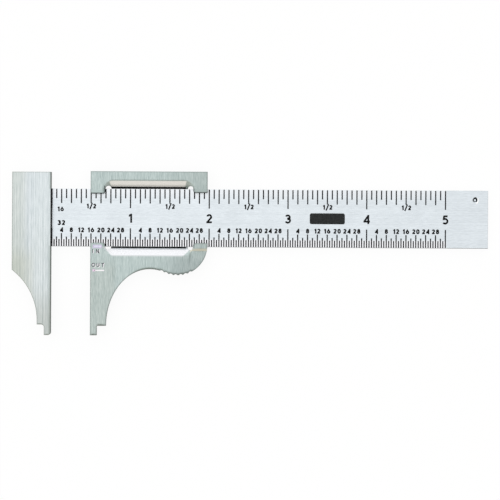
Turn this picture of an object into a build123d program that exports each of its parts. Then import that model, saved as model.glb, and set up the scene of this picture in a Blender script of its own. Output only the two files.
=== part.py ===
from build123d import *

import os
from math import acos, atan2, cos, degrees, radians, sin, sqrt, tan

# A pocket slide caliper in stainless sheet, about six inches long and graduated in inches.
# Three pieces: a flat beam, a flat fixed jaw welded on the front of its left end, and a sliding
# jaw pressed from one sheet. The sliding jaw's four corner tabs lap the beam's front, and its
# middle is pressed back through two ramps into a bridge that passes behind the beam.
# Sizes are in millimetres. +X runs along the beam from the fixed jaw to the free end, +Y up the
# scale and away from the jaw tips, and +Z out of the graduated front. The origin is on the fixed
# jaw's measuring face, at the beam's centreline, half-way through the fixed jaw's thickness.

INCH = 25.4
QUARTER_TURN = 90

# Beam
beam_width = 18.65
beam_thickness = 0.8
beam_reach = 140.7  # free end, from the measuring face
beam_inset = 0.4  # hidden end, inside the fixed jaw's outer edge

# Nibs of both jaws
jaw_reach = 28.55  # to the tips, from the beam's lower edge
nib_width = 2.1

# Fixed jaw
fixed_jaw_thickness = 1.1
fixed_jaw_width = 12.5
fixed_head_rise = 5.25  # above the beam's upper edge
fixed_nib_length = 3.4
fixed_tip_width = 4.4
fixed_flank_radius = 20.4
fixed_flank_land = 1.25  # straight stretch of the flank above the shoulder
fixed_nib_root_radius = 0.9
fixed_nib_nose_radius = 0.9

# Sliding jaw, plan
slide_length = 37.55
slide_head_rise = 5.55
slide_nib_length = 3.05
rest_opening = 12.7  # between the measuring faces, as the caliper is drawn
slide_tip_width = 5.05
slide_nib_root_radius = 0.25
arch_radius = 11.8  # between the crown of the arch and the thumb rest
thumb_radius = 9.6
thumb_drop = 9.1  # lowest point of the thumb rest, below the beam
thumb_bulge = 1.9  # lowest point of the thumb rest, below the crown of the arch

# Sliding jaw, sheet and running fit on the beam
slide_thickness = 1.0
face_clearance = 0.1  # between sheet and beam, in front and behind
edge_clearance = 0.1  # between each ramp and the beam's back edge
ramp_angle = 37.0
press_corner_radius = 3.4  # plan corners of the pressed middle
bend_outside_radius = 0.8
bend_inside_radius = 0.3

# Sliding jaw, corner tabs and the round-ended reliefs beside them
tab_width = 4.6
tab_lap = 1.2
long_tab_lap = 1.6  # upper left tab
tab_chamfer = 0.5
relief_width = 1.85

# Set-back below the lower right tab: the thumb rest's face slopes back from the tab, then rises
# slowly to its old level
set_back_start = 0.5  # below the beam's edge
set_back_slope_width = 0.8
set_back_rise_width = 5.0
set_back_depth = 0.3

# Thumb grip: grooves along the thumb rest
groove_count = 7
groove_pitch = 1.57
groove_radius = 0.75
groove_depth = 0.3
grip_lead = 1.1  # first groove, on the jaw's side of where the arch meets the thumb rest

# Stop: punched from the front, so it stands out behind the beam in the bridge's way
stop_from_end = 4.1
stop_height = 6.3  # above the beam's centreline
crater_radius = 0.95
crater_floor_radius = 0.35
crater_depth = 0.45
bump_radius = 1.2
bump_height = 0.5

# Graduations: etched lines, filled with black enamel
scale_inches = 5
mark_depth = 0.05
mark_width = 0.38
mark_inset = 0.12  # from the beam's edge
upper_inch_line = 6.1
upper_eighth_line = 4.6
upper_sixteenth_line = 3.0
lower_inch_line = 5.8
lower_eighth_line = 4.1
lower_sixteenth_line = 3.0
lower_thirty_second_line = 2.2

# Plain black panel, etched and filled like the lines
panel_length = 11.3
panel_width = 3.5
panel_corner_radius = 0.6
panel_centre = 3.5  # inches from the measuring face

# Line length, by how many divisions of its scale it closes
sixteenths = {16: upper_inch_line, 2: upper_eighth_line, 1: upper_sixteenth_line}
thirty_seconds = {
    32: lower_inch_line,
    4: lower_eighth_line,
    2: lower_sixteenth_line,
    1: lower_thirty_second_line,
}

# Levels through the thickness
beam_front = -fixed_jaw_thickness / 2
beam_back = beam_front - beam_thickness
slide_back = beam_front + face_clearance
slide_front = slide_back + slide_thickness
bridge_front = beam_back - face_clearance
bridge_back = bridge_front - slide_thickness

# Levels up the scale
beam_edge = beam_width / 2
fixed_head_top = beam_edge + fixed_head_rise
slide_head_top = beam_edge + slide_head_rise
nib_tip = -beam_edge - jaw_reach
fixed_shoulder = nib_tip + fixed_nib_length
slide_shoulder = nib_tip + slide_nib_length

# Longer than the part is thick, for tools that cut right through
THROUGH = 4 * (beam_thickness + slide_thickness + fixed_jaw_thickness)
TOUCH = 0.001  # edges this close to a level lie on it


def prism(sketch, bottom, top):
    """The sketch, standing from one level to another."""
    return extrude(Pos(0, 0, bottom) * sketch, amount=top - bottom, dir=(0, 0, 1))


def cut_through(sketch):
    """The sketch as a tool that passes every level of the part."""
    return prism(sketch, -THROUGH / 2, THROUGH / 2)


def line_length(division, lengths):
    """Length of the line that closes this division: the coarsest step that it falls on."""
    return next(length for step, length in lengths.items() if division % step == 0)


def etched_lines(lengths, side):
    """Blocks of the lines along one edge of the beam: side is 1 for the upper edge, -1 below."""
    per_inch = max(lengths)
    blocks = []
    for division in range(scale_inches * per_inch + 1):
        length = line_length(division, lengths)
        x = division * INCH / per_inch
        y = side * (beam_edge - mark_inset - length / 2)
        line = Pos(x, y) * Rectangle(mark_width, length)
        blocks.append(prism(line, beam_front - mark_depth, beam_front))
    return blocks


def etched_panel():
    outline = Pos(panel_centre * INCH, 0) * RectangleRounded(panel_length, panel_width, panel_corner_radius)
    return prism(outline, beam_front - mark_depth, beam_front)


def stop_bump():
    """Spherical cap that hangs from z = 0."""
    ball_radius = (bump_radius**2 + bump_height**2) / (2 * bump_height)
    ball = Pos(0, 0, ball_radius - bump_height) * Sphere(ball_radius)
    below = Pos(0, 0, -bump_height) * Box(2 * ball_radius, 2 * ball_radius, 2 * bump_height)
    return ball & below


def stop_crater():
    """Mark of the punch: a flat floor and a sloping wall, down from z = 0."""
    return Pos(0, 0, -crater_depth / 2) * Cone(crater_floor_radius, crater_radius, crater_depth)


def beam(etchings):
    """Flat beam, etched in front, with the punched stop near its free end."""
    left = beam_inset - fixed_jaw_width
    blank = Pos((left + beam_reach) / 2, 0) * Rectangle(beam_reach - left, beam_width)
    stop = Pos(beam_reach - stop_from_end, stop_height)
    body = prism(blank, beam_back, beam_front)
    body += stop * Pos(0, 0, beam_back) * stop_bump()
    body -= stop * Pos(0, 0, beam_front) * stop_crater()
    return body - etchings


def round_corner(sketch, x, y, radius):
    corner = sketch.vertices().sort_by_distance((x, y, 0))[0]
    return fillet(corner, radius)


def fixed_jaw():
    """Flat plate: straight measuring face at x = 0, hollow flank, and a nib for inside sizes."""
    flank_centre = (-fixed_tip_width - fixed_flank_radius, fixed_shoulder + fixed_flank_land)
    flank_angle = degrees(acos((-fixed_jaw_width - flank_centre[0]) / fixed_flank_radius))
    flank = CenterArc(flank_centre, fixed_flank_radius, flank_angle, -flank_angle)
    rest = Polyline(
        flank @ 1,
        (-fixed_tip_width, fixed_shoulder),
        (-nib_width, fixed_shoulder),
        (-nib_width, nib_tip),
        (0, nib_tip),
        (0, fixed_head_top),
        (-fixed_jaw_width, fixed_head_top),
        flank @ 0,
    )
    outline = make_face([flank, rest])
    outline = round_corner(outline, -nib_width, fixed_shoulder, fixed_nib_root_radius)
    outline = round_corner(outline, 0, nib_tip, fixed_nib_nose_radius)
    return prism(outline, beam_front, beam_front + fixed_jaw_thickness)


# Sliding jaw, in its own plan: x = 0 at its measuring face
thumb_centre = Vector(slide_length - thumb_radius, thumb_radius - thumb_drop - beam_edge)
crown = thumb_bulge - thumb_drop - beam_edge
arch_offset = sqrt(thumb_bulge * (2 * arch_radius + 2 * thumb_radius - thumb_bulge))
arch_centre = Vector(thumb_centre.X - arch_offset, crown - arch_radius)
arch_to_thumb = atan2(thumb_centre.Y - arch_centre.Y, thumb_centre.X - arch_centre.X)


def slide_outline():
    """Plan of the sliding jaw: measuring face, thumb rest, arch, hollow flank and nib."""
    turn = degrees(arch_to_thumb)
    thumb = CenterArc(thumb_centre, thumb_radius, 0, turn - 180)
    arch = CenterArc(arch_centre, arch_radius, turn, QUARTER_TURN - turn)
    flank_size = (arch_centre.X - slide_tip_width, crown - slide_shoulder)
    quarter = {"start_angle": QUARTER_TURN, "arc_size": QUARTER_TURN}
    flank = EllipticalCenterArc((arch_centre.X, slide_shoulder), *flank_size, **quarter)
    rest = Polyline(
        (slide_tip_width, slide_shoulder),
        (nib_width, slide_shoulder),
        (nib_width, nib_tip),
        (0, nib_tip),
        (0, slide_head_top),
        (slide_length, slide_head_top),
        (slide_length, thumb_centre.Y),
    )
    outline = make_face([thumb, arch, flank, rest])
    return round_corner(outline, nib_width, slide_shoulder, slide_nib_root_radius)


def grip_point(distance):
    """Point along the grip, a distance past where the arch meets the thumb rest, and the outward
    direction there."""
    if distance < 0:
        angle = arch_to_thumb - distance / arch_radius
        outward = Vector(-cos(angle), -sin(angle))
        return arch_centre - outward * arch_radius, outward
    angle = arch_to_thumb + distance / thumb_radius
    outward = Vector(-cos(angle), -sin(angle))
    return thumb_centre + outward * thumb_radius, outward


def grip_grooves():
    grooves = []
    for number in range(groove_count):
        point, outward = grip_point(number * groove_pitch - grip_lead)
        centre = point + outward * (groove_radius - groove_depth)
        grooves.append(cut_through(Pos(centre.X, centre.Y) * Circle(groove_radius)))
    return grooves


def press_tool(growth, level):
    """Rounded block with sloping sides, pressed back from a level of the sheet. The growth is how
    far it is wider all round than the tool that presses the front."""
    slope = tan(radians(ramp_angle))
    depth = slide_front - bridge_front
    floor_width = 2 * (beam_edge + edge_clearance - face_clearance / slope)
    strip_length = slide_length - 2 * (tab_width + relief_width)
    spread = 2 * (depth / slope + growth)
    mouth = RectangleRounded(strip_length + spread, floor_width + spread, press_corner_radius + growth)
    mouth = Pos(slide_length / 2, 0, level) * mouth
    return extrude(mouth, amount=depth, dir=(0, 0, -1), taper=QUARTER_TURN - ramp_angle)


def round_bend(sheet, level, radius):
    """Round the closed bend line that lies at one level of the pressed sheet."""
    at_level = sheet.edges().filter_by_position(Axis.Z, level - TOUCH, level + TOUCH)
    return fillet(at_level.filter_by_position(Axis.X, 0, slide_length), radius)


def pressed_blank():
    """Flat sheet with its middle pressed back, as thick there as it is outside."""
    back_growth = slide_thickness * tan(radians(ramp_angle) / 2)
    flat = Pos(slide_length / 2, 0) * Rectangle(2 * slide_length, 2 * (slide_head_top - nib_tip))
    sheet = prism(flat, slide_back, slide_front)
    sheet += press_tool(back_growth, slide_back)
    sheet -= press_tool(0, slide_front)
    for level in (slide_front, bridge_back):
        sheet = round_bend(sheet, level, bend_outside_radius)
    for level in (slide_back, bridge_front):
        sheet = round_bend(sheet, level, bend_inside_radius)
    return sheet


def end_cutout(upper_lap):
    """Plan of what is cut from one end, drawn at the left: the gap between its two tabs, and the
    reliefs that free the bridge from them. The tabs' inner corners are chamfered."""
    upper_end = beam_edge - upper_lap
    lower_end = tab_lap - beam_edge
    strip_start = tab_width + relief_width
    relief_length = 2 * (beam_edge + edge_clearance) + relief_width
    relief = SlotOverall(relief_length, relief_width, rotation=QUARTER_TURN)
    relief = Pos(tab_width + relief_width / 2, 0) * relief
    gap = Polygon(
        (-tab_width, upper_end),
        (tab_width - tab_chamfer, upper_end),
        (tab_width, upper_end + tab_chamfer),
        (strip_start, upper_end + tab_chamfer),
        (strip_start, lower_end - tab_chamfer),
        (tab_width, lower_end - tab_chamfer),
        (tab_width - tab_chamfer, lower_end),
        (-tab_width, lower_end),
        align=None,
    )
    return gap + relief


def set_back():
    """Flat V cut across the front face, from the middle of the right relief to the right edge."""
    start = -beam_edge - set_back_start
    foot = start - set_back_slope_width
    deepest = slide_front - set_back_depth
    section = Polygon(
        (start, slide_front),
        (foot, deepest),
        (foot - set_back_rise_width, slide_front),
        align=None,
    )
    cut = extrude(Plane.YZ * section, amount=slide_length, dir=(1, 0, 0))
    return Pos(slide_length - tab_width - relief_width / 2, 0) * cut


def sliding_jaw():
    """One pressed sheet, moved along the beam to the opening at which it rests."""
    left_end = cut_through(end_cutout(long_tab_lap))
    right_end = mirror(cut_through(end_cutout(tab_lap)), about=Plane.YZ)
    right_end = Pos(slide_length, 0) * right_end
    channel_width = 2 * (beam_edge + edge_clearance)
    channel = Pos(slide_length / 2, 0) * Rectangle(2 * slide_length, channel_width)
    sheet = pressed_blank() & cut_through(slide_outline())
    sheet -= [left_end, right_end, prism(channel, bridge_front, slide_back), set_back()]
    sheet -= grip_grooves()
    return Pos(rest_opening, 0) * sheet


upper_lines = etched_lines(sixteenths, 1)
lower_lines = etched_lines(thirty_seconds, -1)
panel = etched_panel()

parts = {
    "beam": beam([*upper_lines, *lower_lines, panel]),
    "fixed_jaw": fixed_jaw(),
    "sliding_jaw": sliding_jaw(),
    "sixteenth_lines": Compound(upper_lines),
    "thirty_second_lines": Compound(lower_lines),
    "plain_panel": panel,
}

os.makedirs("parts", exist_ok=True)
for name, shape in parts.items():
    export_step(shape, f"parts/{name}.step")
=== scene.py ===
"""Looks of a pocket slide caliper: brushed stainless sheet, enamel, numbers, light and camera."""

import math

import bmesh
import bpy
from mathutils import Matrix, Vector


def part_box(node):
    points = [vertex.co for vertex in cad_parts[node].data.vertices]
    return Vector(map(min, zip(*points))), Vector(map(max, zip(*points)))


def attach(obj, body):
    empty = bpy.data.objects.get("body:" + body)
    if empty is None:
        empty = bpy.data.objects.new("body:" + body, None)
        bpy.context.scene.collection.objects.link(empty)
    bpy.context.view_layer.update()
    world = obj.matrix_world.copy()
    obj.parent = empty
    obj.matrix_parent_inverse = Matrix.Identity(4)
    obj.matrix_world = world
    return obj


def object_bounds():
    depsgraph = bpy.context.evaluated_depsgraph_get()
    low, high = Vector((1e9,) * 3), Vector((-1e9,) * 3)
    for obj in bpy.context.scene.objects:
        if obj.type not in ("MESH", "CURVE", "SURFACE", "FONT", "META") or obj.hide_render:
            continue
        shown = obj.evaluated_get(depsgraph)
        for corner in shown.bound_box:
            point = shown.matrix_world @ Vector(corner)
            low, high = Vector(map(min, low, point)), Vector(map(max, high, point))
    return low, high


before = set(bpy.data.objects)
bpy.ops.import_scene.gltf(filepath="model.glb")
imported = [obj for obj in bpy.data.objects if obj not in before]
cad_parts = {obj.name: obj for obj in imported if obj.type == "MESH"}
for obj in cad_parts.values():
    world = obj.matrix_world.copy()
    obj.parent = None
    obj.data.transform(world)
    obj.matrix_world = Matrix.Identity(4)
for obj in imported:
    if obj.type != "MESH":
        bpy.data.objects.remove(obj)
cad_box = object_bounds()

MM = 0.001
INCH = 25.4 * MM

# How the photograph sees the scale: straight down, turned a third of a degree
PHOTO_WIDTH = 500
PIXELS_PER_INCH = 78.75
ZERO_PIXEL = Vector((51.71, 217.32))
CAMERA_TURN = math.radians(0.322)
CAMERA_HEIGHT = 300 * MM

# White paper that the object lies on
PAPER_SIZE = 2  # metres from its middle to its edge
PAPER_LEVEL = cad_box[0][2]
PAPER_GLOW = 0.9  # share of it that is plain white to the eye

# Places read from the frame
BEAM_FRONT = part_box("plain_panel")[1].z
BEAM_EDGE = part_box("beam")[1].y
BEAM_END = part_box("beam")[1].x
SLIDE_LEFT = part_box("sliding_jaw")[0].x
SLIDE_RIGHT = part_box("sliding_jaw")[1].x
SLIDE_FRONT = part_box("sliding_jaw")[1].z

# Places on the pieces
RAMP_CENTRE = SLIDE_LEFT + 18.35 * MM
RISER_START = SLIDE_LEFT + 31.9 * MM
TAB_WIDTH = 4.6 * MM
LEFT_TAB_FOOT = BEAM_EDGE - 1.6 * MM
RIGHT_TAB_FOOT = BEAM_EDGE - 1.2 * MM
STOP = Vector((BEAM_END - 4.1 * MM, 6.3 * MM))
STOP_STRETCH = 0.76  # width of the stop's ring, as a share of its height
INCHES = 5

# Ink and etched marks: blocks that stand a hair above the steel
INK_DEPTH = 0.04 * MM
INK_RISE = 0.01 * MM

# Spans over which a patch of a finish fades in, each from its start to its end, along the axis that
# ends its name. The fixed jaw's are these.
JAW_MIDDLE_X = (-4.5 * MM, -7.5 * MM)
JAW_LEFT_X = (-7 * MM, -9.5 * MM)
JAW_OUTER_X = (-9 * MM, -12 * MM)
JAW_LOWER_Y = (5 * MM, -15 * MM)
JAW_TIP_Y = (-20 * MM, -33 * MM)
FLANK_X = (-4.5 * MM, -7 * MM)
FLANK_Y = (-8 * MM, -15 * MM)
JAW_SHADOW_X = (-0.22 * MM, -0.14 * MM)
JAW_SHADOW_Y = (BEAM_EDGE, BEAM_EDGE - 0.1 * MM)
JAW_CORNER_X = (0.18 * MM, 0.08 * MM)
PAST_BEAM_Y = (BEAM_EDGE - 0.2 * MM, BEAM_EDGE - 0.1 * MM)
EDGE_SHADE_WIDTH = 0.8 * MM
EDGE_LINE_WIDTH = 0.25 * MM
EDGE_FADE = 0.1 * MM  # on both sides of where the measuring edge's patch ends

# The beam's. The painted dark ring and the painted highlight on the lip of its stop are distances
# from the stop's middle.
LOWER_RIM_Y = (0.14 * MM - BEAM_EDGE, 0.06 * MM - BEAM_EDGE)
LOWER_ROW_Y = (-6.4 * MM, -7.4 * MM)
UPPER_ROW_Y = (5.2 * MM, 9 * MM)
UPPER_ROW_SHARE = 0.5  # how much of the lower row's brightness the upper one has
ROWS_END_X = (INCHES * INCH + 0.5 * MM, INCHES * INCH)
RING_INSIDE = (0.28 * MM, 0.34 * MM)
RING_OUTSIDE = (0.74 * MM, 0.66 * MM)
RING_FOOT_Y = (STOP.y - 0.7 * MM, STOP.y - 0.5 * MM)
LIP_INSIDE = (0.76 * MM, 0.82 * MM)
LIP_OUTSIDE = (1.12 * MM, 1.0 * MM)
LIP_X = (STOP.x, STOP.x + 0.5 * MM)
LIP_TOP_Y = (STOP.y + 0.7 * MM, STOP.y + 0.4 * MM)

# The sliding jaw's, some of them as a distance from the middle of its ramps
SLIDE_SHADE_X = (SLIDE_LEFT + 20 * MM, SLIDE_RIGHT)
THUMB_X = (SLIDE_LEFT + 20 * MM, SLIDE_RIGHT - 8 * MM)
THUMB_Y = (-10 * MM, -15 * MM)
LEG_X = (SLIDE_LEFT + 9 * MM, SLIDE_LEFT + 7 * MM)
LEG_Y = (-12 * MM, -17 * MM)
RISER_X = (RISER_START, RISER_START + 0.4 * MM)
RISER_Y = (0, -1 * MM)
RISER_LEAN = 0.45
UPPER_HALF_Y = (0, 1 * MM)
SLOPE_LEAN = 0.6
UPPER_SLOPE_ENDS = (9.1 * MM, 8.7 * MM)
UPPER_SLOPE_SLANT = -0.3
SLOPE_FOOT_Y = (10.9 * MM, 10.2 * MM)
LOWER_BEND_Y = (-12.7 * MM, -11.9 * MM)
BELOW_BEAM_Y = (-BEAM_EDGE, -BEAM_EDGE - 0.15 * MM)
LOWER_SLOPE_ENDS = (24.2 * MM, 23.4 * MM)
LOWER_SLOPE_SLANT = -1
GAP_SHADE_LEVEL = (-0.5 * MM, -0.65 * MM)
GAP_SHADE_MIDDLE = 0.13 * MM
GAP_SHADE_Y = (BEAM_EDGE + 0.62 * MM, BEAM_EDGE + 0.52 * MM)
GAP_SHADE_ENDS = (12.3 * MM, 12.1 * MM)
TAB_LINE = 0.25 * MM  # width of the painted shadow line round an upper tab
TAB_MARGIN = 0.3 * MM
TAB_FACE_HEIGHT = 1.2 * MM
RELIEF_TOP = BEAM_EDGE + 0.9 * MM
FIELD_FADE = 0.04 * MM  # on both sides of where a field ends

# Turns of a face, as the part of its normal that points out of the front
FRONT = (0.5, 0.9)
FRONT_AND_SLOPES = (0, 0.5)
ALL_BUT_BACK = (0, 0.1)
FRONT_AND_WALLS = (-0.1, 0.1)
SLOPES_OR_FLAT = (0.4, 0.6)
FLAT = (0.9, 0.98)
WALL = (0.5, 0.25)
LEAN_FADE = 0.3
ROLLED_AWAY = (0.999, 0.9)  # from a flat sheet to its rolled edge
LOOKS_Y = (-0.1, -0.4)
SIDE_SHARE = 0.9  # how far an edge that also looks aside is spared


# Nodes and colours


def linear(code):
    """Linear colour of an sRGB hex value."""
    channels = [int(code[i : i + 2], 16) / 255 for i in (1, 3, 5)]
    return [c / 12.92 if c <= 0.04045 else ((c + 0.055) / 1.055) ** 2.4 for c in channels] + [1.0]


def join(tree, node, inputs):
    """Fills inputs, each by its name or place: with a value, a socket, or a node's live output."""
    live = {socket.name: socket for socket in node.inputs if socket.enabled}
    for key, value in inputs.items():
        socket = live.get(key) or node.inputs[key]
        if isinstance(value, bpy.types.Node):
            value = next(output for output in value.outputs if output.enabled)
        if isinstance(value, bpy.types.NodeSocket):
            tree.links.new(value, socket)
        else:
            socket.default_value = value


def add(tree, kind, settings, inputs):
    """Adds a node with its settings and links."""
    node = tree.nodes.new(kind)
    for name, value in settings.items():
        setattr(node, name, value)
    join(tree, node, inputs)
    return node


COLOURS = {"data_type": "RGBA"}
TINT = {"data_type": "RGBA", "blend_type": "MULTIPLY"}
SMOOTH = {"interpolation_type": "SMOOTHSTEP"}
ROLLED = {"samples": 8}
TIMES = {"operation": "MULTIPLY"}
TIMES_PLUS = {"operation": "MULTIPLY_ADD"}


def new_material(name):
    material = bpy.data.materials.new(name)
    material.use_nodes = True
    return material, material.node_tree


def where(tree, *spans):
    """Mask that is 1 where every value lies past its span. A span is a value and the two levels
    between which the mask rises softly, or a mask made before."""
    masks = []
    for span in spans:
        if isinstance(span, tuple):
            value, start, end = span
            limits = {"Value": value, "From Min": start, "From Max": end}
            span = add(tree, "ShaderNodeMapRange", SMOOTH, limits)
        masks.append(span)
    mask = masks[0]
    for other in masks[1:]:
        mask = add(tree, "ShaderNodeMath", TIMES, {0: mask, 1: other})
    return mask


def distance(tree, value, centre):
    """How far a value lies from a centre, to either side."""
    value = add(tree, "ShaderNodeMath", {"operation": "SUBTRACT"}, {0: value, 1: centre})
    return add(tree, "ShaderNodeMath", {"operation": "ABSOLUTE"}, {0: value})


def brush_marks(tree, place, line):
    """Noise drawn out into lines. The line is their real length along x, y and z."""
    scale = [1 / size for size in line]
    stretched = add(tree, "ShaderNodeMapping", {}, {"Vector": place, "Scale": scale})
    noise = {"Vector": stretched, "Scale": 1.0, "Detail": 1.0, "Roughness": 0.6}
    return add(tree, "ShaderNodeTexNoise", {}, noise)


def steel_colour(tree, place, dark, light, grain):
    """Streaks of the brush between a dark and a light colour, in layers: each is a line's size and
    its weight. The last layer's marks also roughen the surface."""
    total = 0.5 - sum(weight for _, weight in grain) / 2
    for line, weight in grain:
        marks = brush_marks(tree, place, line)
        total = add(tree, "ShaderNodeMath", TIMES_PLUS, {0: marks, 1: weight, 2: total})
    streaks = {"Factor": total, "A": linear(dark), "B": linear(light)}
    return add(tree, "ShaderNodeMix", COLOURS, streaks), marks


def paint(tree, colour, mask, code, how=COLOURS):
    """Lays a colour over another, or tints it, where a mask says."""
    return add(tree, "ShaderNodeMix", how, {"Factor": mask, "A": colour, "B": linear(code)})


def near_edge(tree, radius):
    """Mask that is 1 on the sheet's edges and fades out beside them, within a radius."""
    rolled = add(tree, "ShaderNodeBevel", ROLLED, {"Radius": radius})
    flat = add(tree, "ShaderNodeNewGeometry", {}, {}).outputs["True Normal"]
    turned = add(tree, "ShaderNodeVectorMath", {"operation": "DOT_PRODUCT"}, {0: rolled, 1: flat})
    return where(tree, (turned.outputs["Value"], *ROLLED_AWAY))


def lower_edges(tree, radius, upright):
    """Mask of the sheet beside the edges that look down the picture, within a radius."""
    rolled = add(tree, "ShaderNodeBevel", ROLLED, {"Radius": radius})
    rolled = add(tree, "ShaderNodeSeparateXYZ", {}, {0: rolled}).outputs
    aside = distance(tree, rolled["X"], 0)
    down = add(tree, "ShaderNodeMath", TIMES_PLUS, {0: aside, 1: SIDE_SHARE, 2: rolled["Y"]})
    return where(tree, (down, *LOOKS_Y), (upright, *FLAT))


def stainless_sheet(name, dark, light, grain, cut, rim_shade, downward_shade, rim_width, patches):
    """Stainless sheet: brushed in one direction on its face, duller on the walls that the die cut.
    Along its edges a greyer band is painted as the shade of their rolling, and a darker one where
    they look down the picture. A patch tints the sheet or lays a colour over it where its own mask
    says."""
    material, tree = new_material(name)
    coordinates = add(tree, "ShaderNodeTexCoord", {}, {})
    place = coordinates.outputs["Object"]
    axes = add(tree, "ShaderNodeSeparateXYZ", {}, {0: place}).outputs
    facing = add(tree, "ShaderNodeSeparateXYZ", {}, {0: coordinates.outputs["Normal"]}).outputs
    upright = distance(tree, facing["Z"], 0)

    colour, fine = steel_colour(tree, place, dark, light, grain)
    # Painted shade: a greyer band on the edges, darker again where they look down the picture
    colour = paint(tree, colour, near_edge(tree, rim_width), rim_shade)
    colour = paint(tree, colour, lower_edges(tree, 2 * rim_width, upright), downward_shade)
    colour = paint(tree, colour, where(tree, (upright, *WALL)), cut)
    for how, code, mask in patches:
        colour = paint(tree, colour, mask(tree, axes, facing), code, how)

    rough = {"Value": fine, "From Min": 0.3, "From Max": 0.7, "To Min": 0.3, "To Max": 0.42}
    rough = add(tree, "ShaderNodeMapRange", {}, rough)
    narrow = add(tree, "ShaderNodeBevel", ROLLED, {"Radius": 0.15 * MM})
    relief = {"Strength": 0.25, "Distance": 0.02 * MM, "Height": fine, "Normal": narrow}
    relief = add(tree, "ShaderNodeBump", {}, relief)
    steel = {"Base Color": colour, "Roughness": rough, "Normal": relief, "Metallic": 1.0}
    join(tree, tree.nodes["Principled BSDF"], steel)
    return material


def filler(name, dark, light, roughness):
    """Baked filler, wiped level with the steel: one dull colour with a slightly uneven skin."""
    material, tree = new_material(name)
    place = add(tree, "ShaderNodeTexCoord", {}, {}).outputs["Object"]
    skin = brush_marks(tree, place, [0.6 * MM] * 3)
    uneven = where(tree, (skin, 0.35, 0.65))
    colour = {"Factor": uneven, "A": linear(dark), "B": linear(light)}
    colour = add(tree, "ShaderNodeMix", COLOURS, colour)
    rough = {"Value": uneven, "To Min": roughness - 0.08, "To Max": roughness + 0.08}
    rough = add(tree, "ShaderNodeMapRange", {}, rough)
    relief = {"Strength": 0.2, "Distance": 0.01 * MM, "Height": skin}
    relief = add(tree, "ShaderNodeBump", {}, relief)
    skin = {"Base Color": colour, "Roughness": rough, "Normal": relief, "Specular IOR Level": 0.15}
    join(tree, tree.nodes["Principled BSDF"], skin)
    return material


# Masks of the finishes' patches. Each reads the piece's own coordinates and how its faces turn.


def fade(axis, span):
    """Mask that rises along an axis."""
    return lambda tree, axes, facing: where(tree, (axes[axis], *span))


def field(x, y):
    """Mask of an oblong of the front face, from its ends along x and along y."""

    def mask(tree, axes, facing):
        spans = [(facing["Z"], *FRONT)]
        for value, (low, high) in ((axes["X"], x), (axes["Y"], y)):
            spans.append((value, low - FIELD_FADE, low + FIELD_FADE))
            spans.append((value, high + FIELD_FADE, high - FIELD_FADE))
        return where(tree, *spans)

    return mask


def flank(tree, axes, facing):
    """The lower left flank of the fixed jaw."""
    return where(tree, (axes["X"], *FLANK_X), (axes["Y"], *FLANK_Y))


def jaw_seam(tree, axes, facing):
    """Painted shadow along the fixed jaw's measuring edge where the beam lies behind it."""
    height = distance(tree, axes["Y"], 0)
    return where(tree, (axes["X"], *JAW_SHADOW_X), (height, *JAW_SHADOW_Y))


def measuring_edge(width):
    """Mask of the fixed jaw's measuring edge where no beam lies behind it, for the painted shade
    along that edge.
    """

    def mask(tree, axes, facing):
        beside = (axes["X"], -width - EDGE_FADE, -width + EDGE_FADE)
        return where(tree, beside, (distance(tree, axes["Y"], 0), *PAST_BEAM_Y))

    return mask


def lower_rim(tree, axes, facing):
    """Painted shade along the beam's lower edge, which is rounded away from the light."""
    return where(tree, (axes["Y"], *LOWER_RIM_Y), (facing["Z"], *FRONT))


def jaw_corner(tree, axes, facing):
    """Painted shadow in the corner where the fixed jaw's measuring edge stands on the beam."""
    return where(tree, (axes["X"], *JAW_CORNER_X), (facing["Z"], *FRONT))


def bridge_seam(tree, axes, facing):
    """Painted shade on the foot of the sliding jaw's slopes, in the gap beside the beam."""
    height = distance(tree, axes["Y"], GAP_SHADE_MIDDLE)
    across = distance(tree, axes["X"], RAMP_CENTRE)
    low = where(tree, (axes["Z"], *GAP_SHADE_LEVEL), (facing["Z"], *FRONT_AND_WALLS))
    return where(tree, low, (height, *GAP_SHADE_Y), (across, *GAP_SHADE_ENDS))


def slope(tree, facing, lean):
    """Faces that lean up or down the picture as far as this, or further."""
    steep = (distance(tree, facing["Z"], 0), *SLOPES_OR_FLAT)
    return where(tree, steep, (distance(tree, facing["Y"], 0), lean - LEAN_FADE, lean))


def riser(tree, axes, facing):
    """The step that sets the lower right tab back, where a warm tan is painted as its reflection.
    """
    right = (axes["X"], *RISER_X)
    return where(tree, right, (axes["Y"], *RISER_Y), slope(tree, facing, RISER_LEAN))


def slope_ends(tree, axes, facing):
    """The upper slope with its ends, which the reliefs round off."""
    return where(tree, (axes["Y"], *UPPER_HALF_Y), slope(tree, facing, SLOPE_LEAN))


def slanted(tree, axes, slant):
    """Distance from the middle of the ramps, which grows or shrinks up the picture."""
    across = distance(tree, axes["X"], RAMP_CENTRE)
    return add(tree, "ShaderNodeMath", TIMES_PLUS, {0: axes["Y"], 1: slant, 2: across})


def upper_slope(tree, axes, facing):
    """The middle of the upper slope, where a pale colour is painted as its reflection."""
    reach = slanted(tree, axes, UPPER_SLOPE_SLANT)
    return where(tree, (reach, *UPPER_SLOPE_ENDS), slope_ends(tree, axes, facing))


def slope_foot(tree, axes, facing):
    """The foot of the upper slope, shaded by the beam."""
    return where(tree, (axes["Y"], *SLOPE_FOOT_Y), slope_ends(tree, axes, facing))


def lower_slope(tree, axes, facing):
    """The lower slope and the bend below it, with slanting ends, where near white is painted as
    their highlight.
    """
    reach = slanted(tree, axes, LOWER_SLOPE_SLANT)
    bend = where(tree, (axes["Y"], *LOWER_BEND_Y), (axes["Y"], *BELOW_BEAM_Y))
    return where(tree, bend, (reach, *LOWER_SLOPE_ENDS))


def jaw_leg(tree, axes, facing):
    """The second measuring jaw, a little warmer than the rest of the slide."""
    return where(tree, (axes["X"], *LEG_X), (axes["Y"], *LEG_Y))


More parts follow.
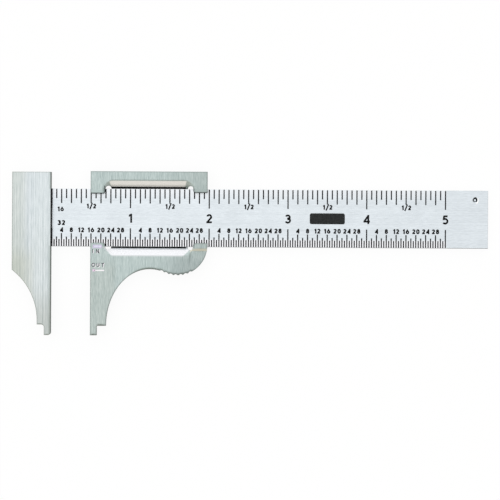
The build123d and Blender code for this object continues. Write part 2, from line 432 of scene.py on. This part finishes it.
def thumb_shade(tree, axes, facing):
    """The thumb rest, turned a little from the light."""
    return where(tree, (axes["X"], *THUMB_X), (axes["Y"], *THUMB_Y))


def from_stop(tree, axes):
    """Distance from the middle of the punched stop."""
    across = distance(tree, axes["X"], STOP.x)
    up = distance(tree, axes["Y"], STOP.y)
    up = add(tree, "ShaderNodeMath", TIMES, {0: up, 1: STOP_STRETCH})
    squares = [add(tree, "ShaderNodeMath", TIMES, {0: side, 1: side}) for side in (across, up)]
    total = add(tree, "ShaderNodeMath", {"operation": "ADD"}, {0: squares[0], 1: squares[1]})
    return add(tree, "ShaderNodeMath", {"operation": "SQRT"}, {0: total})


def crater_glint(tree, axes, facing):
    """The lit lip on the right of the punched stop."""
    radius = from_stop(tree, axes)
    lip = where(tree, (radius, *LIP_INSIDE), (radius, *LIP_OUTSIDE))
    right = where(tree, (axes["X"], *LIP_X), (axes["Y"], *LIP_TOP_Y))
    return where(tree, lip, right, (facing["Z"], *FRONT_AND_SLOPES))


def crater(tree, axes, facing):
    """Painted shade in a dark ring round the punched stop, open at its foot."""
    radius = from_stop(tree, axes)
    ring = where(tree, (radius, *RING_INSIDE), (radius, *RING_OUTSIDE))
    return where(tree, ring, (axes["Y"], *RING_FOOT_Y), (facing["Z"], *ALL_BUT_BACK))


def etched_rows(tree, axes, facing):
    """The rows of etched lines, where the steel between them is a little brighter."""
    lower = where(tree, (axes["Y"], *LOWER_ROW_Y))
    upper = where(tree, (axes["Y"], *UPPER_ROW_Y))
    rows = add(tree, "ShaderNodeMath", TIMES_PLUS, {0: upper, 1: UPPER_ROW_SHARE, 2: lower})
    return where(tree, rows, (axes["X"], *ROWS_END_X), (facing["Z"], *FRONT))


# Lettering: pen strokes in a box one unit high. A run is a list of two ends; an arc is its centre,
# radius, first angle and sweep.

STROKES = {
    "0": [
        ((0.28, 0.72), 0.28, 0, 180),
        ((0.28, 0.28), 0.28, 180, 180),
        [(0.0, 0.74), (0.0, 0.26)],
        [(0.56, 0.74), (0.56, 0.26)],
    ],
    "1": [[(0.2, -0.2), (0.2, 1.2)], [(-0.15, 0.8), (0.24, 1.02)]],
    "2": [
        ((0.27, 0.73), 0.27, 165, -205),
        [(0.5, 0.61), (-0.02, -0.04)],
        [(-0.15, 0.0), (0.64, 0.0)],
    ],
    "3": [
        ((0.31, 0.73), 0.27, 155, -250),
        ((0.31, 0.31), 0.31, 95, -250),
        [(0.22, 0.54), (0.34, 0.54)],
    ],
    "4": [[(0.59, 1.1), (-0.1, 0.13)], [(-0.15, 0.22), (0.75, 0.22)], [(0.53, -0.2), (0.53, 1.2)]],
    "5": [[(0.16, 1.0), (0.66, 1.0)], [(0.19, 1.08), (0.1, 0.48)], ((0.32, 0.32), 0.32, 128, -270)],
    "6": [((0.32, 0.32), 0.32, 0, 360), [(0.02, 0.44), (0.4, 1.1)]],
    "8": [((0.31, 0.765), 0.235, 0, 360), ((0.31, 0.28), 0.28, 0, 360)],
    "/": [[(0.0, -0.42), (0.72, 1.45)]],
    "I": [[(0.0, -0.2), (0.0, 1.2)]],
    "N": [[(0.0, -0.2), (0.0, 1.2)], [(-0.05, 1.08), (0.75, -0.08)], [(0.7, -0.2), (0.7, 1.2)]],
    "O": [((0.5, 0.5), 0.5, 0, 360)],
    "U": [[(0.0, 1.2), (0.0, 0.3)], ((0.33, 0.33), 0.33, 180, 180), [(0.66, 0.3), (0.66, 1.2)]],
    "T": [[(-0.1, 1.0), (0.76, 1.0)], [(0.33, 1.0), (0.33, -0.2)]],
}
ARC_STEP = 15  # degrees
LETTER_GAP = 0.16  # of the letters' height


def pen_run(bm, start, end, width):
    """Flat stroke from one point to another."""
    start, end = Vector((*start, 0)), Vector((*end, 0))
    side = Vector((start.y - end.y, end.x - start.x, 0)).normalized() * width / 2
    nib = bm.edges.new((bm.verts.new(start + side), bm.verts.new(start - side)))
    drawn = bmesh.ops.extrude_edge_only(bm, edges=[nib])["geom"]
    far = [item for item in drawn if isinstance(item, bmesh.types.BMVert)]
    bmesh.ops.translate(bm, verts=far, vec=end - start)


def pen_arc(bm, centre, radius, first, sweep, width):
    """Flat stroke round a centre."""
    centre = Vector((*centre, 0))
    out = Vector((math.cos(math.radians(first)), math.sin(math.radians(first)), 0))
    ends = [bm.verts.new(centre + out * (radius + side * width / 2)) for side in (1, -1)]
    bmesh.ops.spin(
        bm,
        geom=[*ends, bm.edges.new(ends)],
        cent=centre,
        axis=(0, 0, 1),
        angle=math.radians(sweep),
        steps=abs(sweep) // ARC_STEP,
        use_merge=abs(sweep) == 360,
    )


def trim(bm, side):
    """Cuts a letter's strokes off past one side of its box."""
    corner = [max(0, value) for value in side]
    bmesh.ops.bisect_plane(
        bm,
        geom=bm.verts[:] + bm.edges[:] + bm.faces[:],
        plane_co=corner,
        plane_no=side,
        clear_outer=True,
    )


def thicken(bm, depth):
    """Gives flat faces a thickness below them."""
    drawn = bmesh.ops.extrude_face_region(bm, geom=bm.faces[:])["geom"]
    below = [item for item in drawn if isinstance(item, bmesh.types.BMVert)]
    bmesh.ops.translate(bm, verts=below, vec=(0, 0, -depth))
    bmesh.ops.recalc_face_normals(bm, faces=bm.faces)


def to_object(bm, name):
    mesh = bpy.data.meshes.new(name)
    bm.to_mesh(mesh)
    bm.free()
    piece = bpy.data.objects.new(name, mesh)
    bpy.context.collection.objects.link(piece)
    return piece


def stroke_object(stroke, width, slash):
    """One stroke, one unit deep. The pen's width is part of the letter's height."""
    bm = bmesh.new()
    size = 1 - width
    if isinstance(stroke, list):
        pen_run(bm, *[(x * size, y * size) for x, y in stroke], width)
    else:
        (x, y), radius, first, sweep = stroke
        pen_arc(bm, (x * size, y * size), radius * size, first, sweep, width)
    bmesh.ops.translate(bm, verts=bm.verts, vec=(width / 2, width / 2, 0))
    if not slash:
        for side in [(0, 1, 0), (0, -1, 0), (-1, 0, 0)]:
            trim(bm, side)
    thicken(bm, 1.0)
    return to_object(bm, "stroke")


def letter_mesh(letter, width):
    """All the strokes of a letter, joined into one solid."""
    strokes = [stroke_object(stroke, width, letter == "/") for stroke in STROKES[letter]]
    for other in strokes[1:]:
        union = strokes[0].modifiers.new("union", "BOOLEAN")
        union.operation = "UNION"
        union.solver = "EXACT"
        union.object = other
    bpy.context.view_layer.update()
    evaluated = strokes[0].evaluated_get(bpy.context.evaluated_depsgraph_get())
    joined = bpy.data.meshes.new_from_object(evaluated)
    for stroke in strokes:
        bpy.data.objects.remove(stroke)
    return joined


def set_word(bm, letters, word, x, y, height, front, depth):
    """Adds a word: x is its middle, y its foot, and front the level of its face."""
    meshes = [letters[letter] for letter in word]
    reaches = [[vertex.co.x for vertex in mesh.vertices] for mesh in meshes]
    spans = [(min(reach), max(reach)) for reach in reaches]
    cursor = -(sum(end - start for start, end in spans) + LETTER_GAP * (len(word) - 1)) / 2
    for mesh, (start, end) in zip(meshes, spans):
        known = len(bm.verts)
        bm.from_mesh(mesh)
        bm.verts.ensure_lookup_table()
        place = Matrix.Translation((x + (cursor - start) * height, y, front))
        size = Matrix.Diagonal((height, height, depth, 1))
        bmesh.ops.transform(bm, matrix=place @ size, verts=bm.verts[known:])
        cursor += end - start + LETTER_GAP


def lettering(name, words, width, front, material, body, slot):
    """A piece made of words: each is its text, the middle of its foot, and its height."""
    used = {letter for word, *_ in words for letter in word}
    letters = {letter: letter_mesh(letter, width) for letter in used}
    bm = bmesh.new()
    for word, x, y, height in words:
        set_word(bm, letters, word, x, y, height, front, INK_DEPTH)
    return finish_piece(bm, name, material, body)


def finish_piece(bm, name, material, body):
    piece = to_object(bm, name)
    piece.data.materials.clear()
    piece.data.materials.append(material)
    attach(piece, body)
    return piece


# Camera, light and floor


def place_camera():
    """Straight above the scale, so that it lies in the picture as it does in the photograph."""
    per_metre = PIXELS_PER_INCH / INCH
    off = Vector((PHOTO_WIDTH / 2, PHOTO_WIDTH / 2)) - ZERO_PIXEL
    x = (off.x * math.cos(CAMERA_TURN) + off.y * math.sin(CAMERA_TURN)) / per_metre
    y = (off.x * math.sin(CAMERA_TURN) - off.y * math.cos(CAMERA_TURN)) / per_metre
    data = bpy.data.cameras.new("camera")
    data.lens = data.sensor_width * CAMERA_HEIGHT / (PHOTO_WIDTH / per_metre)
    data.clip_start = 0.01
    camera = bpy.data.objects.new("camera", data)
    bpy.context.collection.objects.link(camera)
    camera.location = (x, y, BEAM_FRONT + CAMERA_HEIGHT)
    camera.rotation_euler = (0, 0, CAMERA_TURN)
    bpy.context.scene.camera = camera


def studio_light(tree):
    """Even white studio: brighter above the picture, dimmer and warmer below, dark at its sides."""
    direction = add(tree, "ShaderNodeTexCoord", {}, {}).outputs["Generated"]
    axes = add(tree, "ShaderNodeSeparateXYZ", {}, {0: direction}).outputs
    below = where(tree, (axes["Y"], 0, -1))
    warm = {"Factor": below, "A": linear("#FFFFFF"), "B": linear("#E9E7E0")}
    colour = add(tree, "ShaderNodeMix", COLOURS, warm)
    above = {"Value": axes["Y"], "To Min": 1.0, "To Max": 1.3}
    sides = {"Value": distance(tree, axes["X"], 0), "From Min": 0.75, "To Min": 1.0, "To Max": 0.45}
    left = {"Value": axes["X"], "From Min": -1.0, "To Min": 1.15, "To Max": 0.85}
    strength = 1.0
    for ramp in (above, sides, left):
        ramp = add(tree, "ShaderNodeMapRange", SMOOTH, ramp)
        strength = add(tree, "ShaderNodeMath", TIMES, {0: strength, 1: ramp})
    join(tree, tree.nodes["Background"], {"Color": colour, "Strength": strength})
    return tree.nodes["Background"]


def studio_world():
    """The studio's light. Seen directly, its walls are plain white."""
    world = bpy.data.worlds.new("studio")
    world.use_nodes = True
    tree = world.node_tree
    white = {"Color": linear("#FFFFFF"), "Strength": 1.0}
    wall = add(tree, "ShaderNodeBackground", {}, white)
    seen = add(tree, "ShaderNodeLightPath", {}, {}).outputs["Is Camera Ray"]
    room = add(tree, "ShaderNodeMixShader", {}, {0: seen, 1: studio_light(tree), 2: wall})
    join(tree, tree.nodes["World Output"], {"Surface": room})
    bpy.context.scene.world = world


def white_floor():
    """White paper that keeps part of the object's shadow. The camera, mirrors and glass see it
    nearly plain white."""
    bm = bmesh.new()
    bmesh.ops.create_grid(bm, x_segments=1, y_segments=1, size=PAPER_SIZE)
    bmesh.ops.translate(bm, verts=bm.verts, vec=(0, 0, PAPER_LEVEL))
    floor = to_object(bm, "floor")
    material, tree = new_material("white_paper")
    shader = tree.nodes["Principled BSDF"]
    matt = {"Base Color": linear("#FFFFFF"), "Roughness": 1.0, "Specular IOR Level": 0.0}
    join(tree, shader, matt)
    glow = add(tree, "ShaderNodeEmission", {}, {"Strength": 1.0})
    path = add(tree, "ShaderNodeLightPath", {}, {}).outputs
    seen = path["Is Camera Ray"]
    for ray in ("Is Glossy Ray", "Is Transmission Ray"):
        seen = add(tree, "ShaderNodeMath", {"operation": "MAXIMUM"}, {0: seen, 1: path[ray]})
    share = add(tree, "ShaderNodeMath", TIMES, {0: seen, 1: PAPER_GLOW})
    paper = add(tree, "ShaderNodeMixShader", {}, {0: share, 1: shader, 2: glow})
    join(tree, tree.nodes["Material Output"], {"Surface": paper})
    floor.data.materials.append(material)


place_camera()
studio_world()
white_floor()

# Finishes. Real brush marks are finer than 0.1 mm, and are drawn 0.15 to 0.2 mm wide so that they
# show.

# Cold-rolled rule stock, satin ground lengthways: pale, blue-white, almost without streaks, with
# painted shade round its stop and along its lower edge, a painted highlight on the stop's lip, and
# a painted shadow in the fixed jaw's corner
beam_steel = stainless_sheet(
    "beam_steel_satin",
    dark="#D3DADF",
    light="#EEF5FA",
    grain=[
        ((60 * MM, 0.2 * MM, 0.2 * MM), 0.8),
        ((9 * MM, 9 * MM, 9 * MM), 0.6),
        ((1.6 * MM, 0.2 * MM, 0.2 * MM), 1.2),
    ],
    cut="#E4EAEC",
    rim_shade="#C8D0D2",
    downward_shade="#9AA2A4",
    rim_width=0.2 * MM,
    patches=[
        (COLOURS, "#F8F9FC", etched_rows),
        # Painted shade in a ring round the stop, and a painted highlight on its lip
        (COLOURS, "#15191B", crater),
        (COLOURS, "#FFFFFF", crater_glint),
        # Painted shade along the beam's lower edge
        (COLOURS, "#4C5254", lower_rim),
        # Painted shadow on the beam beside the fixed jaw
        (COLOURS, "#0A0B0B", jaw_corner),
    ],
)
# Plate brushed across the beam with a coarse belt: long streaks, greyer towards its edge and tip,
# with painted shade along its measuring edge and a painted shadow where it stands on the beam
fixed_steel = stainless_sheet(
    "fixed_jaw_steel_brushed",
    dark="#C0CACC",
    light="#EAF0F2",
    grain=[
        ((0.17 * MM, 90 * MM, 0.17 * MM), 1.9),
        ((1.3 * MM, 60 * MM, 1.3 * MM), 0.2),
        ((0.17 * MM, 3.5 * MM, 0.17 * MM), 1.3),
    ],
    cut="#C4CCC8",
    rim_shade="#A4ACA8",
    downward_shade="#98A09A",
    rim_width=0.5 * MM,
    patches=[
        (TINT, "#FBFBFC", fade("X", JAW_MIDDLE_X)),
        (TINT, "#FCFBF6", fade("X", JAW_LEFT_X)),
        (TINT, "#F6F7F6", fade("X", JAW_OUTER_X)),
        (TINT, "#F8F7F1", flank),
        (TINT, "#FAFAF9", fade("Y", JAW_LOWER_Y)),
        (TINT, "#E9E8E4", fade("Y", JAW_TIP_Y)),
        # Painted shade along the measuring edge: a darker band, then a dark line
        (TINT, "#EEF0EE", measuring_edge(EDGE_SHADE_WIDTH)),
        (COLOURS, "#666C66", measuring_edge(EDGE_LINE_WIDTH)),
        # Painted shadow along the measuring edge where the beam lies behind it
        (COLOURS, "#030303", jaw_seam),
    ],
)

# The upper tabs of the sliding jaw, with painted shadow lines along their feet and painted shade at
# the left relief
left_tab = (SLIDE_LEFT + TAB_MARGIN, SLIDE_LEFT + TAB_WIDTH - TAB_LINE)
right_tab = (SLIDE_RIGHT - TAB_WIDTH + TAB_LINE, SLIDE_RIGHT - TAB_MARGIN)
left_foot = (LEFT_TAB_FOOT, LEFT_TAB_FOOT + TAB_LINE)
right_foot = (RIGHT_TAB_FOOT, RIGHT_TAB_FOOT + TAB_LINE)
left_tab_face = field(left_tab, (left_foot[1], LEFT_TAB_FOOT + TAB_FACE_HEIGHT))
right_tab_face = field(right_tab, (right_foot[1], RIGHT_TAB_FOOT + TAB_FACE_HEIGHT))
left_tab_foot_shadow = field((SLIDE_LEFT, left_tab[1]), left_foot)
right_tab_foot_shadow = field((right_tab[0], SLIDE_RIGHT), right_foot)
left_relief_shade = field((left_tab[1], SLIDE_LEFT + TAB_WIDTH), (LEFT_TAB_FOOT, RELIEF_TOP))

# Pressed sheet, brushed across the beam: grey-green, short streaks, with a painted reflection and a
# painted highlight on its slopes, painted shade on their ends, their feet and the gaps beside the
# beam, and painted shadow lines along its tabs
slide_steel = stainless_sheet(
    "sliding_jaw_steel_brushed",
    dark="#9EAEAC",
    light="#D0DCDA",
    grain=[
        ((0.15 * MM, 20 * MM, 0.15 * MM), 0.9),
        ((1.2 * MM, 30 * MM, 1.2 * MM), 0.22),
        ((0.15 * MM, 2.0 * MM, 0.15 * MM), 1.4),
    ],
    cut="#6B7370",
    rim_shade="#9BA7A4",
    downward_shade="#747C76",
    rim_width=0.8 * MM,
    patches=[
        (COLOURS, "#B7C5C3", left_tab_face),
        (COLOURS, "#B3C1BF", right_tab_face),
        (TINT, "#F2F1F0", fade("X", SLIDE_SHADE_X)),
        (TINT, "#F1F1F2", thumb_shade),
        (TINT, "#FFFCFA", jaw_leg),
        # Painted reflection: a warm tan on the step of the lower right tab
        (COLOURS, "#D6D2C0", riser),
        # Painted shade on the ends of the upper slope; its middle is painted over next
        (COLOURS, "#AAB3AE", slope_ends),
        # Painted reflection: a pale colour on the middle of the upper slope
        (COLOURS, "#F2F0EE", upper_slope),
        (TINT, "#D4D4D4", slope_foot),
        # Painted highlight: near white on the lower slope and its bend
        (COLOURS, "#E4E5E8", lower_slope),
        # Painted shade at the foot of the slopes, beside the beam
        (COLOURS, "#090A0A", bridge_seam),
        # Painted shadow lines along the upper tabs' feet, and painted shade at the left relief
        (COLOURS, "#2E3432", left_tab_foot_shadow),
        (COLOURS, "#1E2422", left_relief_shade),
        (COLOURS, "#5A6260", right_tab_foot_shadow),
    ],
)
# Stove enamel in the etched lines and numbers: near black, half matt
line_enamel = filler("black_enamel_baked", "#020202", "#080808", 0.5)
# The same on the panel's wider field, where it lies smoother and catches more light
panel_enamel = filler("black_enamel_panel", "#1F2121", "#2C2E2E", 0.42)
# Stamped or acid-etched bare steel, dull: the grey one is painted shade on a stroke's shaded side;
# the pale one is the etch's own colour on the pointer and a painted highlight on the stamped words'
# offset copy; pink or lilac tinge it where the etching is shallow
shade_etch = filler("grey_etch", "#454E52", "#5A6468", 0.5)
pale_etch_and_highlight = filler("white_etch_and_highlight", "#F8EEF8", "#FFFFFF", 0.5)
pink_etch = filler("pink_etch", "#E2C6E0", "#EED8EC", 0.5)
lilac_etch = filler("lilac_etch", "#C4BAD8", "#CFC6E0", 0.5)
pale_lilac_etch = filler("pale_lilac_etch", "#DCDAEE", "#EAE8F8", 0.5)

finishes = {
    "beam": beam_steel,
    "fixed_jaw": fixed_steel,
    "sliding_jaw": slide_steel,
    "sixteenth_lines": line_enamel,
    "thirty_second_lines": line_enamel,
    "plain_panel": panel_enamel,
}
for name, material in finishes.items():
    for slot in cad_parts[name].material_slots:
        slot.material = material

# Numbers of the scale, filled like its lines. Each word is its text, the middle of its foot and its
# height, and a pen's width is a share of the height.

INCH_PEN = 0.205
SMALL_PEN = 0.28
INCH_FOOT, INCH_HEIGHT = -1.62 * MM, 2.95 * MM
SMALL_FOOT, SMALL_HEIGHT = -4.78 * MM, 1.58 * MM
PARTS = 32  # of an inch, along the lower row
NUMBERED = 4  # parts from one small number to the next
HALF_FOOT, HALF_HEIGHT = 2.93 * MM, 1.55 * MM
HALF_SIGNS = [("1", -1.1 * MM), ("/", 0.0), ("2", 1.12 * MM)]  # beside the half-inch line
SIXTEENTHS_NAME = ("16", 2.9 * MM, 1.98 * MM, 1.52 * MM)
THIRTY_SECONDS_NAME = ("32", 3.1 * MM, -2.5 * MM, 1.65 * MM)

inches = [(str(n), n * INCH, INCH_FOOT, INCH_HEIGHT) for n in range(1, INCHES + 1)]
smalls = [(inch, n) for inch in range(INCHES) for n in range(NUMBERED, PARTS, NUMBERED)]
smalls = [(str(n), (inch + n / PARTS) * INCH, SMALL_FOOT, SMALL_HEIGHT) for inch, n in smalls]
halves = [(sign, (n + 0.5) * INCH + x) for n in range(INCHES) for sign, x in HALF_SIGNS]
halves = [(sign, x, HALF_FOOT, HALF_HEIGHT) for sign, x in halves]
beam_ink = (BEAM_FRONT + INK_RISE, line_enamel, "beam", "black_enamel")
lettering("inch_numbers", inches, INCH_PEN, *beam_ink)
lettering("thirty_second_numbers", smalls, SMALL_PEN, *beam_ink)
lettering("half_inch_marks", halves, SMALL_PEN, *beam_ink)
lettering("scale_names", [SIXTEENTHS_NAME, THIRTY_SECONDS_NAME], SMALL_PEN, *beam_ink)

# Marks on the sliding jaw: IN and OUT, stamped, drawn as a grey copy of painted shade over a pale
# copy set towards the lit side as a painted highlight; a bar and a pointer. Letters and marks are
# placed from the jaw's left edge.

STAMP_PEN = 0.2
IN_LETTERS = [("I", 0.75 * MM), ("N", 2.3 * MM)]
OUT_LETTERS = [("O", 1.05 * MM), ("U", 2.5 * MM), ("T", 4.0 * MM)]
IN_FOOT, IN_HEIGHT = -11.4 * MM, 1.25 * MM
OUT_FOOT, OUT_HEIGHT = -15.9 * MM, 1.3 * MM
LIT_SIDE = Vector((0.2 * MM, -0.15 * MM))
BAR_LEVEL = -9.3 * MM
POINTER_LEVEL = -17.0 * MM

words = [(letter, SLIDE_LEFT + x, IN_FOOT, IN_HEIGHT) for letter, x in IN_LETTERS]
words += [(letter, SLIDE_LEFT + x, OUT_FOOT, OUT_HEIGHT) for letter, x in OUT_LETTERS]
# The pale copy, shifted towards the lit side: a painted highlight
lit = [(letter, x + LIT_SIDE.x, y + LIT_SIDE.y, height) for letter, x, y, height in words]
lit_ink = (SLIDE_FRONT + INK_RISE, pale_etch_and_highlight, "slide", "sliding_jaw_steel")
shade_ink = (SLIDE_FRONT + 2 * INK_RISE, shade_etch, "slide", "sliding_jaw_steel")
lettering("stamped_words_lit", lit, STAMP_PEN, *lit_ink)
lettering("stamped_words", words, STAMP_PEN, *shade_ink)


def slide_mark(name, span, level, width, layer, material):
    """Straight mark on the sliding jaw, along the beam: its ends, its level up the scale, its width
    and how many hairs it stands above the steel."""
    bm = bmesh.new()
    left, right = span
    pen_run(bm, (left, level), (right, level), width)
    thicken(bm, INK_DEPTH)
    bmesh.ops.translate(bm, verts=bm.verts, vec=(SLIDE_LEFT, 0, SLIDE_FRONT + layer * INK_RISE))
    return finish_piece(bm, name, material, "slide")


slide_mark("tab_bar_rim", (0.8 * MM, 3.7 * MM), BAR_LEVEL, 1.05 * MM, 1, lilac_etch)
slide_mark("tab_bar", (1.05 * MM, 3.45 * MM), BAR_LEVEL, 0.6 * MM, 2, pale_lilac_etch)
slide_mark("pointer", (1.4 * MM, 4.5 * MM), POINTER_LEVEL, 0.4 * MM, 1, pale_etch_and_highlight)
slide_mark("pointer_head", (0.7 * MM, 1.6 * MM), POINTER_LEVEL, 0.7 * MM, 1, pink_etch)

bpy.context.scene.view_settings.view_transform = "Standard"
